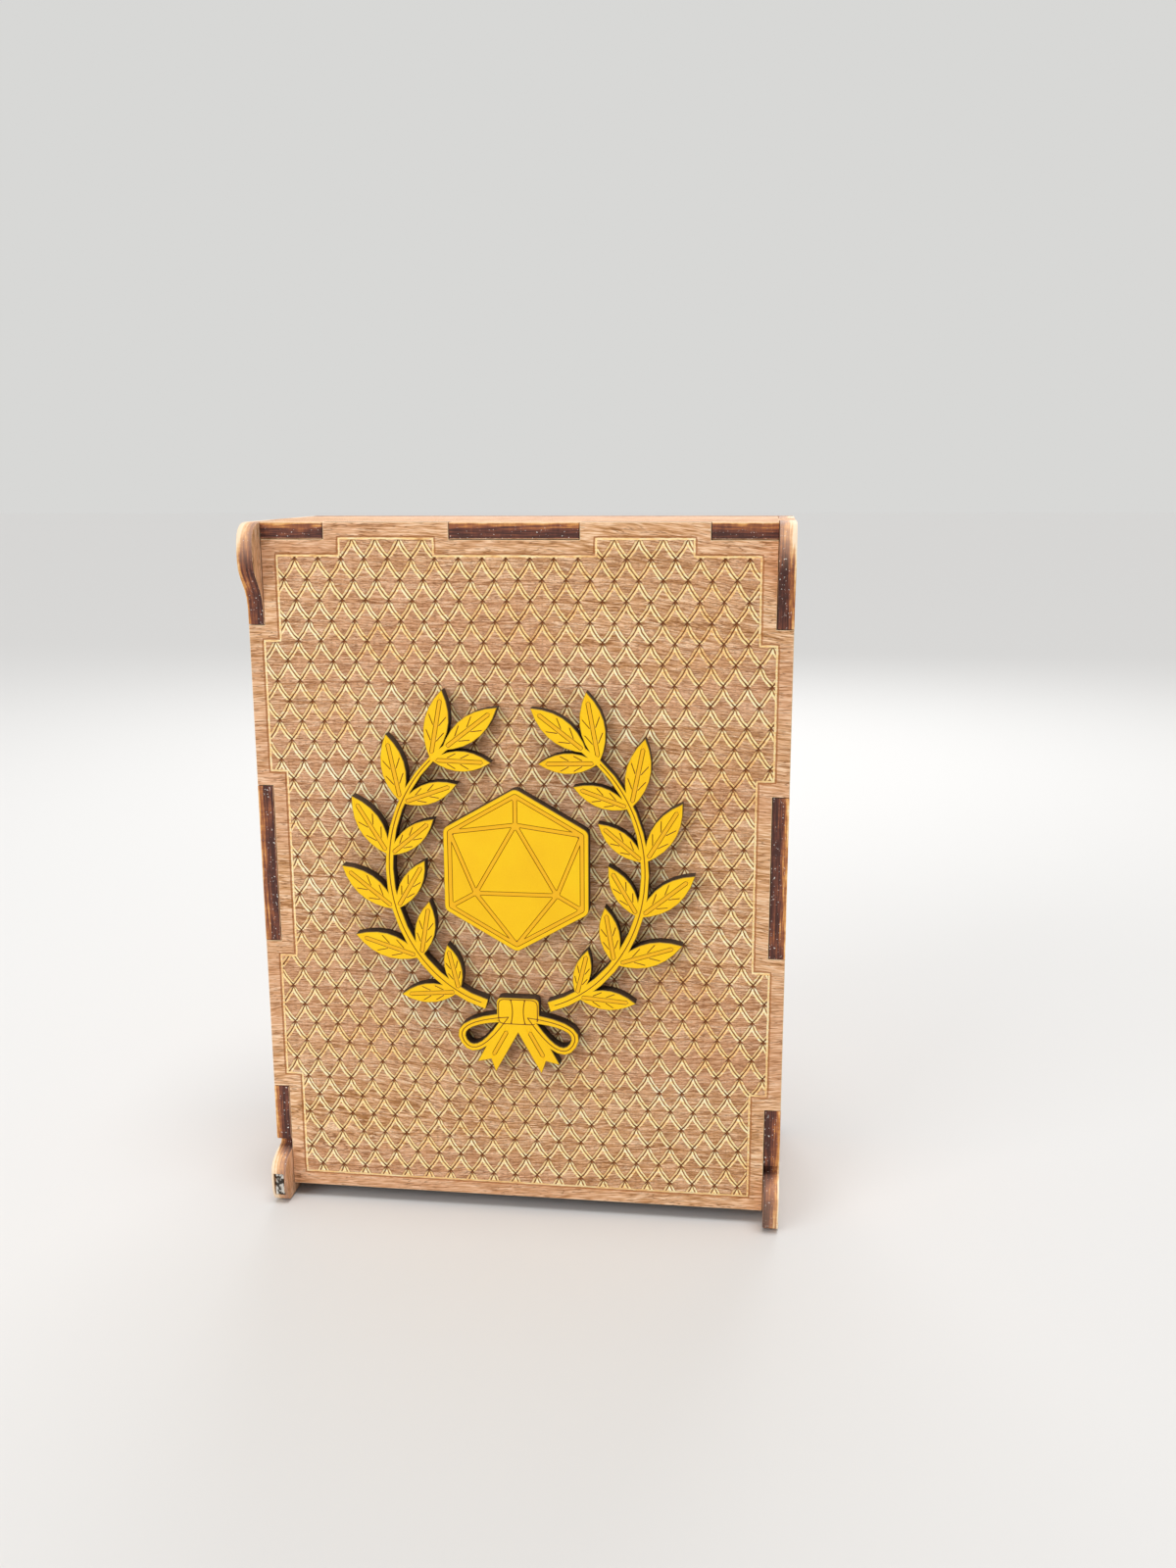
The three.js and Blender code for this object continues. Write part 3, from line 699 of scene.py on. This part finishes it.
def panel_carving(outline):
    """Points and joined pairs of points along the engraved lines"""
    region = drawn_in(outline, border_inset + border_half_width + border_margin)
    chains = np.array(scale_chains(region))
    points = list(chains.reshape(-1, 2))
    joined = [(i, i + 1) for i in range(len(points) - 1) if (i + 1) % (stations + 1)]
    for row in line_rows:
        for offset in (-row, row):
            moved = beside(chains, offset).reshape(-1, 2)
            right, left, _ = past_scale_lines(*moved.T)
            nearest = np.minimum(np.abs(right), np.abs(left))
            points += list(moved[(nearest > row * line_clear_share) & inside(moved, [region])])
    for offset, _ in border_profile:
        ring = stepped(drawn_in(outline, border_inset + offset), border_step)
        first = len(points)
        points += list(ring)
        joined += [(first + i, first + (i + 1) % len(ring)) for i in range(len(ring))]
    return np.array(points), joined


def engraved_face(tree, place):
    """Veneer with the scales and the border burnt into it"""
    colour, relief = veneer(place, panel_figure_share)
    wander = cloud(place, wander_pitch) - 0.5
    stray = cloud(place, stray_pitch) - 0.5
    x, from_border, z = measured(tree, "plan")
    x = x + wander * wander_reach
    z = z + stray * stray_reach
    right, left, fallen = past_scale_lines(x, z)
    aside, above = from_crossing(x, z)
    bright = cloud(place, glow_pitch) * glow_share + cloud(place, grit_pitch, 2.0, 0.6) * (1.0 - glow_share)
    field = from_border.rise(*field_limits)
    begun = fallen.rise(*begun_limits) * field
    speck = 1.0 - abs(cloud(place, speck_pitch, 1.0) - 0.5).rise(*speck_limits)
    colour = lay_over(field * field_brown_share, colour, field_brown)
    colour = lay_over(speck * field * field_dash_share, colour, field_dash)
    # Painted light and shade: left-falling lines take the shaded gold and groove colours, right-falling lines
    # the lit ones.
    for gap, gilt, share in ((left, shaded_gold_shades, shaded_gold_share), (right, lit_gold_shades, 1.0)):
        # Smoke and painted shadow on the upper side of the line.
        smoke_and_shadow = gap.band(*smoke_and_shadow_band) * begun
        colour = lay_over(smoke_and_shadow * smoke_and_shadow_share, colour, smoke_and_shadow_tan)
        strip = abs(gap).band(*strip_band) * begun
        colour = lay_over(strip * share * bright.rise(*gold_limits), colour, shades(bright, gilt))
    for gap, burnt, share in ((left, shaded_groove_brown, shaded_groove_share),
                              (right, lit_groove_olive, lit_groove_share)):
        groove = (1.0 - abs(gap).rise(*groove_limits)) * field
        colour = lay_over(groove * share, colour, burnt)
    reach = (aside * aside + above * above) ** 0.5
    arm = abs(abs(aside) * math.cos(cross_lean) - abs(above) * math.sin(cross_lean))
    crossed = (1.0 - arm.rise(*cross_width)) * (1.0 - reach.rise(*cross_reach)) * field
    colour = lay_over(crossed * cross_share, colour, cross_brown)
    from_border = from_border + wander * border_wander
    colour = lay_over(from_border.band(*border_groove_band) * border_groove_share, colour, border_orange)
    border_strip = from_border.band(*border_strip_band) * bright.rise(*border_gold_limits)
    return lay_over(border_strip, colour, shades(bright, shaded_gold_shades)), relief


panel_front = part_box("front_panel")[0].y / mm
panel_outline = outline_rings("front_panel", -backwards)
border_ring = drawn_in(panel_outline[0], border_inset)


def past_border(places):
    """Distance from the border's middle, positive inside it"""
    return gap_to(places, [closed(border_ring)]) * np.where(inside(places, [border_ring]), 1.0, -1.0)


def panel_depth(places):
    """How deep the laser has cut at any places"""
    right, left, _ = past_scale_lines(*places.T)
    gap = past_border(places)
    nearest = np.minimum(np.abs(right), np.abs(left))
    lines = np.interp(nearest, *zip(*line_profile)) * (gap > border_half_width)
    return np.maximum(lines, np.interp(gap, *zip(*border_profile)))


panel_points, panel_joined = panel_carving(panel_outline[0])
panel_mesh = carved_board("front_panel_sheet", panel_outline, panel_front, sheet, panel_points,
                          panel_joined, panel_depth)
mark_sheet(panel_mesh, -backwards, rightwards, 12, unpaled)
write_plan(panel_mesh, lambda places: (
    places[:, 0], past_border(places).clip(-border_reach, border_reach), places[:, 1]))
panel = link_piece("front_panel_sheet", panel_mesh, wood_finish("engraved_walnut_ply", engraved_face))
ride_in_place_of(panel, "front_panel", "tray")

# The emblem: boards cut by the laser out of 3 mm stock painted satin yellow, and glued to the panel. A wreath
# of two leafy branches stands round a twenty-sided die, tied with a ribbon, and their veins, facets and folds
# are engraved as thin burnt lines, single or in pairs.
stem_radius_x = 26.0
stem_radius_z = 29.5
stem_start = -1.32
stem_end = 1.02
stem_line_shares = (0.02, 0.93)
stem_line_points = 40
stem_points = 17
leaf_pairs = 6
leaf_place_share = 0.6
leaf_length_share = 1.3
leaf_width_share = 0.45
outer_leaf_turn = -0.62
inner_leaf_turn = 0.8
small_leaf_share = 0.85
tip_leaf_share = 0.98
midrib_shares = (0.12, 0.84)
vein_start_shares = (0.28, 0.50)
vein_run_share = 0.13
vein_from_rib = 0.62
vein_reach_share = 0.74
die_radius = 17.0
die_edge_inset = 1.5
die_inner_share = 0.618
knot_below_stems = 1.4
knot_half_width = 4.05
knot_half_height = 2.65
knot_round_points = 5
knot_round = 1.2
fold_aside = 1.5
loop_turn = -0.54
loop_start = 2.3
loop_end = 13.25
loop_half_width = 2.55
tail_turn = -1.07
tail_fold = (5.2, 10.6)
curve_points = 9
line_step = 0.5
line_slack = 0.03
farthest = 9.0
pair_rows = (0.31, 0.40, 0.49)
pair_profile = ((0.0, 0.03), (0.31, 0.04), (0.40, 0.14), (0.49, 0.0))
single_rows = (0.06, 0.14)
single_profile = ((0.0, 0.12), (0.06, 0.10), (0.14, 0.0))
mottle_pitch = (0.10, 0.10, 0.10)
mottle_share = 0.7
paint_grit_pitch = (3.0, 3.0, 3.0)
yellow_shades = ((0.30, (250, 194, 0)), (0.52, (255, 202, 0)), (0.74, (255, 210, 2)))
amber_limits = (0.30, 0.38)
amber_share = 0.6
inlay_amber = (240, 172, 22)
pair_line_band = (0.35, 0.46, 0.04)
single_line_limits = (0.05, 0.12)
line_brown = (112, 56, 12)
board_edge_limits = (0.2, 0.75)
soot_pitch = (0.3, 0.3, 1.8)
soot_share = 0.8
board_char_shades = ((0.30, (34, 26, 22)), (0.55, (66, 50, 38)), (0.80, (112, 84, 56)))
sheen_pitch = (0.25, 0.25, 0.25)
sheen_change = 0.1
paint_roughness = 0.38
edge_roughness = 0.3
paint_gloss = 0.3
paint_bump = 0.15
paint_height = 0.08


def resampled(chain, step):
    """A chain with its points about one step apart"""
    chain = np.array(chain, float)
    lengths = np.concatenate([[0.0], np.cumsum(np.hypot(*np.diff(chain, axis=0).T))])
    places = np.linspace(0.0, lengths[-1], max(2, math.ceil(lengths[-1] / step) + 1))
    return np.stack([np.interp(places, lengths, chain[:, i]) for i in (0, 1)], axis=1)


def turned(points, origin, angle):
    """Points along and across a direction, put where it starts"""
    along, across = np.array(points, float).T
    c, s = math.cos(angle), math.sin(angle)
    return np.stack([origin[0] + along * c - across * s, origin[1] + along * s + across * c], axis=1)


def curve(start, pull, end, count=curve_points):
    """A curve between two points, drawn towards a third"""
    t = np.linspace(0, 1, count)[:, None]
    return (1 - t) ** 2 * np.array(start) + 2 * t * (1 - t) * np.array(pull) + t ** 2 * np.array(end)


def stem_angle(share):
    """The angle round the emblem's middle that a share of the branch reaches"""
    return stem_start + (stem_end - stem_start) * share


def stem_point(angle):
    """The branch's place at an angle"""
    return np.array([stem_radius_x * math.cos(angle), emblem_height + stem_radius_z * math.sin(angle)])


def stem_heading(angle):
    """The direction in which the branch grows at an angle"""
    return math.atan2(stem_radius_z * math.cos(angle), -stem_radius_x * math.sin(angle))


def leaf_lines(base, angle, length):
    """A leaf's midrib, which is a pair of lines, and its side veins"""
    veins = []
    widest = leaf_width_share / leaf_length_share * length
    for start in vein_start_shares:
        end = start + vein_run_share
        half = 2 * end * (1 - end) * widest * vein_reach_share
        if half < vein_from_rib:
            continue
        for side in (-1, 1):
            run = [(start * length, side * vein_from_rib), (end * length, side * half)]
            veins.append(turned(run, base, angle))
    return turned([(share * length, 0.0) for share in midrib_shares], base, angle), veins


def branch_lines():
    """The pairs of lines and the single lines of the right-hand branch"""
    stem = np.array([stem_point(stem_angle(s)) for s in np.linspace(*stem_line_shares, stem_line_points)])
    whole = np.array([stem_point(stem_angle(s)) for s in np.linspace(0, 1, stem_points)])
    length = leaf_length_share * np.hypot(*np.diff(whole, axis=0).T).sum() / leaf_pairs
    leaves = [(tip_leaf_share, 0.0, length)]
    for i in range(leaf_pairs):
        size = length * (small_leaf_share if i == 0 else 1.0)
        leaves.append(((i + leaf_place_share) / leaf_pairs, outer_leaf_turn, size))
        leaves.append(((i + leaf_place_share) / leaf_pairs, inner_leaf_turn, size * small_leaf_share))
    pairs = []
    singles = [stem]
    for share, turn, size in leaves:
        angle = stem_angle(share)
        rib, veins = leaf_lines(stem_point(angle), stem_heading(angle) + turn, size)
        pairs.append(rib)
        singles += veins
    return pairs, singles


def mirrored(chains):
    """The same chains on the emblem's other side"""
    return [chain * np.array([-1.0, 1.0]) for chain in chains]


def die_lines():
    """The facets of a twenty-sided die seen square on: a triangle in a hexagon, joined at their corners"""
    corner = [np.array([math.cos(a), math.sin(a)]) for a in (math.pi / 2 - i * math.pi / 3 for i in range(6))]
    middle = np.array([0.0, emblem_height])
    rim = [middle + (die_radius - die_edge_inset) * c for c in corner]
    front = [middle + (die_radius - die_edge_inset) * die_inner_share * c for c in corner]
    pairs = [np.array([rim[i], rim[(i + 1) % 6]]) for i in range(6)]
    for i in (0, 2, 4):
        pairs.append(np.array([front[i], front[(i + 2) % 6]]))
        pairs += [np.array([front[i], rim[(i + k) % 6]]) for k in (-1, 0, 1)]
    return pairs, []


def ribbon_lines():
    """The folds of the tails, the middle of each loop's band and the outline of the knot"""
    origin = (0.0, stem_point(stem_start)[1] - knot_below_stems)
    knot = []
    w, h = knot_half_width, knot_half_height
    for x, z in ((1, -1), (1, 1), (-1, 1), (-1, -1)):
        beside_corner = (x * w, z * (h - knot_round))
        below_corner = (x * (w - knot_round), z * h)
        start, end = (below_corner, beside_corner) if x != z else (beside_corner, below_corner)
        knot += list(curve(start, (x * w, z * h), end, knot_round_points))
    folds = [curve((x, -h), (x / 2, 0), (x, h)) for x in (-fold_aside, fold_aside)]
    tail = turned([(tail_fold[0], 0), (tail_fold[1], 0)], origin, tail_turn)
    band = np.concatenate([
        curve((loop_start, 0), (loop_end, -2 * loop_half_width), (loop_end, 0)),
        curve((loop_end, 0), (loop_end, 2 * loop_half_width), (loop_start, 0))[1:]])
    loop = turned(band, origin, loop_turn)
    singles = [turned(chain, origin, 0.0) for chain in (closed(np.array(knot)), *folds)]
    return [tail, *mirrored([tail])], [*singles, loop, *mirrored([loop])]


def painted_face(tree, place):
    """Yellow paint with thin burnt lines, amber between the two of a pair"""
    from_pair, from_single, _ = measured(tree, "plan")
    mottle = cloud(place, mottle_pitch, 3.0)
    grit = cloud(place, paint_grit_pitch)
    colour = shades(mottle * mottle_share + grit * (1.0 - mottle_share), yellow_shades)
    colour = lay_over((1.0 - from_pair.rise(*amber_limits)) * amber_share, colour, inlay_amber)
    colour = lay_over(from_pair.band(*pair_line_band), colour, line_brown)
    colour = lay_over(1.0 - from_single.rise(*single_line_limits), colour, line_brown)
    return colour, grit


def board_finish():
    """The painted face, with edges that the laser has charred almost black"""
    finish, tree = new_finish("yellow_board")
    place = measured(tree, "stock")
    cut, _, _ = measured(tree, "edge")
    face, grit = painted_face(tree, place)
    soot = cloud(place, soot_pitch, 3.0, 0.6)
    on_edge = cut.rise(*board_edge_limits)
    charred = shades(soot * soot_share + grit * (1.0 - soot_share), board_char_shades)
    roughness = on_edge * edge_roughness + cloud(place, sheen_pitch, 3.0) * sheen_change + paint_roughness
    look = {"Base Color": lay_over(on_edge, face, charred), "Roughness": roughness,
            "Specular IOR Level": paint_gloss}
    shade_with(tree, look, grit + soot * on_edge, paint_bump, paint_height)
    return finish


def board_carving(rings, pairs, singles):
    """Points along the lines of a board, joined along each line where they are kept"""
    points = []
    reaches = []
    strokes = []
    for chains, rows in ((pairs, pair_rows), (singles, single_rows)):
        for chain in (resampled(chain, line_step) for chain in chains):
            for offset in (0.0, *rows, *[-row for row in rows]):
                points += list(beside(chain, offset))
                reaches += [abs(offset)] * len(chain)
                strokes += [len(reaches)] * len(chain)
    points = np.array(points)
    kept = inside(points, rings) & (gap_to(points, [closed(ring) for ring in rings]) > 2 * arris)
    kept &= gap_to(points, pairs + singles) > np.array(reaches) - line_slack
    places = np.cumsum(kept) - 1
    joined = [(places[i], places[i + 1]) for i in range(len(points) - 1)
              if kept[i] and kept[i + 1] and strokes[i] == strokes[i + 1]]
    return points[kept], joined


yellow_board = board_finish()
emblem_height = sum(corner.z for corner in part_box("die_emblem")) / 2 / mm
right_pairs, right_singles = branch_lines()
boards = (
    ("wreath_right", right_pairs, right_singles, 21),
    ("wreath_left", mirrored(right_pairs), mirrored(right_singles), 22),
    ("die_emblem", *die_lines(), 23),
    ("ribbon", *ribbon_lines(), 24),
)
for node, pairs, singles, seed in boards:
    board_low, board_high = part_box(node)
    rings = outline_rings(node, -backwards)
    board_points, board_joined = board_carving(rings, pairs, singles)

    def line_gaps(places):
        """Distances from the lines in pairs and from the single ones"""
        return gap_to(places, pairs), gap_to(places, singles) if singles else np.full(len(places), farthest)

    def board_depth(places):
        """How deep the laser has cut at any places"""
        from_pair, from_single = line_gaps(places)
        pair_depth = np.interp(from_pair, *zip(*pair_profile))
        return np.maximum(pair_depth, np.interp(from_single, *zip(*single_profile)))

    mesh = carved_board(node + "_board", rings, board_low.y / mm, (board_high.y - board_low.y) / mm,
                        board_points, board_joined, board_depth)
    mark_sheet(mesh, -backwards, rightwards, seed, unpaled)
    write_plan(mesh, lambda places: (*[gap.clip(0, farthest) for gap in line_gaps(places)], places[:, 0]))
    ride_in_place_of(link_piece(node + "_board", mesh, yellow_board), node, "tray")

# The foot magnets in the tray's feet: small blocks of plated magnet steel pressed into pockets, the left one
# in the foot's front edge, with its slightly hipped face showing, and the right one from the outer side.
# Their metal is painted dark, as a painted reflection of a dark room, mottled with paler plating.
# Painted reflection: the blocks' metal is darkened to stand in for a reflected dark room.
reflected_room_dark = (74, 68, 62)
pale_plating = (226, 223, 216)
block_mottle_pitch = (0.9, 0.9, 0.9)
block_mottle_contrast = 0.05
plated_roughness = 0.24
gloss_change = 0.2
metal_bump = 0.2
metal_height = 0.03
block_ease = 0.18
block_ease_steps = 3
hip_height = 0.30


def metal_finish(name, dark, light, roughness, pitch, contrast):
    """Bare or plated metal, whose colour and gloss change a little over its face"""
    finish, tree = new_finish(name)
    here = put(tree, "ShaderNodeTexCoord").outputs["Object"]
    sockets = {0: here, 1: (1 / mm, 1 / mm, 1 / mm)}
    in_mm = put(tree, "ShaderNodeVectorMath", sockets, operation="MULTIPLY").outputs[0]
    place = [Amount(tree, socket) for socket in put(tree, "ShaderNodeSeparateXYZ", {0: in_mm}).outputs]
    mark = cloud(place, pitch, 3.0)
    look = {"Base Color": shades(mark, ((0.5 - contrast, dark), (0.5 + contrast, light))), "Metallic": 1.0,
            "Roughness": (mark - 0.5) * gloss_change + roughness}
    shade_with(tree, look, mark, metal_bump, metal_height)
    return finish


magnet_steel_painted_dark = metal_finish("magnet_steel_painted_dark", reflected_room_dark, pale_plating, plated_roughness, block_mottle_pitch,
                                 block_mottle_contrast)
for side in ("left", "right"):
    node = "foot_magnet_" + side
    form = eased_form(node, block_ease, block_ease_steps)
    faces = sorted(form.faces, key=lambda face: face.normal.dot(-backwards) * face.calc_area())
    bmesh.ops.poke(form, faces=faces[-1:], offset=hip_height * mm)
    block = link_piece(node + "_block", mesh_of(form, node + "_block"), magnet_steel_painted_dark)
    ride_in_place_of(block, node, "tray")

# The other magnets and the hinge pins: nickel-plated discs let into the side walls, and cut steel rods
# pressed into the tray's walls. Each is turned, with its rim rounded off.
rim_round = 0.3
rim_steps = 5
turn_steps = 64
dish_depth = 0.04
plating_dark = (150, 148, 144)
plating_light = (196, 193, 187)
plating_pitch = (1.2, 1.2, 1.2)
pin_dark = (128, 127, 126)
pin_light = (186, 185, 183)
pin_pitch = (0.3, 4.0, 4.0)
pin_roughness = 0.36
turned_contrast = 0.15


def turned_piece(node, body, finish):
    """A round piece about the X axis that fills its part of the frame"""
    low, high = (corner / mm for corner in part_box(node))
    middle = (low + high) / 2
    radius = (high.z - low.z) / 2
    bend = [math.pi / 2 * i / rim_steps for i in range(rim_steps, -1, -1)]
    profile = [(low.x + dish_depth, radius / 2)]
    profile += [(low.x + rim_round * (1 - math.sin(a)), radius - rim_round * (1 - math.cos(a))) for a in bend]
    profile += [(2 * middle.x - x, r) for x, r in profile[::-1]]
    form = bmesh.new()
    dishes = (low.x + dish_depth, high.x - dish_depth)
    ends = [form.verts.new((x * mm, middle.y * mm, middle.z * mm)) for x in dishes]
    angles = [2 * math.pi * i / turn_steps for i in range(turn_steps)]
    rings = []
    for x, r in profile:
        places = [Vector((x, middle.y + r * math.cos(a), middle.z + r * math.sin(a))) for a in angles]
        rings.append([form.verts.new(place * mm) for place in places])
    for i in range(turn_steps):
        k = (i + 1) % turn_steps
        form.faces.new((ends[0], rings[0][i], rings[0][k]))
        form.faces.new((ends[1], rings[-1][k], rings[-1][i]))
        for before, after in zip(rings[:-1], rings[1:]):
            form.faces.new((before[i], after[i], after[k], before[k]))
    bmesh.ops.recalc_face_normals(form, faces=form.faces)
    for face in form.faces:
        face.smooth = True
    piece = link_piece(node + "_turned", mesh_of(form, node + "_turned"), finish)
    ride_in_place_of(piece, node, body)


magnet_steel = metal_finish("magnet_steel", plating_dark, plating_light, plated_roughness, plating_pitch,
                            turned_contrast)
pin_steel = metal_finish("pin_steel", pin_dark, pin_light, pin_roughness, pin_pitch, turned_contrast)
for side in ("left", "right"):
    turned_piece("tray_latch_magnet_" + side, "tray", magnet_steel)
    turned_piece("tower_latch_magnet_" + side, "tower", magnet_steel)
    turned_piece("tower_foot_magnet_" + side, "tower", magnet_steel)
    turned_piece("hinge_pin_" + side, "tray", pin_steel)

# A plain pale floor and soft studio light, which aren't part of the object.
floor_reach = 6.0
floor_shade = (214, 213, 212)
floor_roughness = 0.8
room_shade = (232, 232, 230)
room_light = 0.56
room_seen = 0.85
overhead_power = 1.7
overhead_spread = math.radians(32)
overhead_from = Vector((0.1, -0.15, 0.9))

floor_mesh = bpy.data.meshes.new("floor")
corners = [(-1, -1), (1, -1), (1, 1), (-1, 1)]
floor_mesh.from_pydata([(x * floor_reach, y * floor_reach, 0) for x, y in corners], [], [(0, 1, 2, 3)])
floor_finish, floor_tree = new_finish("floor_paper")
shade_with(floor_tree, {"Base Color": paint(floor_shade), "Roughness": floor_roughness})
floor = link_piece("floor", floor_mesh, floor_finish)

world = bpy.data.worlds.new("studio")
world.use_nodes = True
room = world.node_tree
seen = put(room, "ShaderNodeLightPath").outputs
kinds = [Amount(room, seen[kind]) for kind in ("Is Camera Ray", "Is Glossy Ray", "Is Transmission Ray")]
shown = (kinds[0] + kinds[1] + kinds[2]).by("MINIMUM", 1.0)
room.links.new(blend_of(shown, room_light, room_seen).socket, room.nodes["Background"].inputs[1])
room.nodes["Background"].inputs[0].default_value = paint(room_shade)
bpy.context.scene.world = world


def hang(name, lamp, place, towards):
    """Puts a lamp in its place, shining in one direction and unseen itself"""
    holder = bpy.data.objects.new(name, lamp)
    holder.location = place
    holder.rotation_euler = Vector(towards).to_track_quat("-Z", "Y").to_euler()
    holder.visible_camera = False
    bpy.context.scene.collection.objects.link(holder)


def soft_box(name, place, aim, size, power):
    """A square lamp with a soft light, aimed at a place on the object"""
    lamp = bpy.data.lights.new(name, "AREA")
    lamp.shape = "SQUARE"
    lamp.size = size
    lamp.energy = power
    hang(name, lamp, place, Vector(aim) - Vector(place))


overhead = bpy.data.lights.new("overhead", "SUN")
overhead.energy = overhead_power
overhead.angle = overhead_spread
hang("overhead", overhead, overhead_from, -overhead_from)
soft_box("front_left", place=(-0.6, -0.8, 0.5), aim=(0.0, 0.0, 0.07), size=0.6, power=4.5)
soft_box("behind", place=(0.0, 0.6, 0.55), aim=(0.0, 0.0, 0.14), size=0.5, power=2.2)
bpy.context.scene.view_settings.view_transform = "Standard"
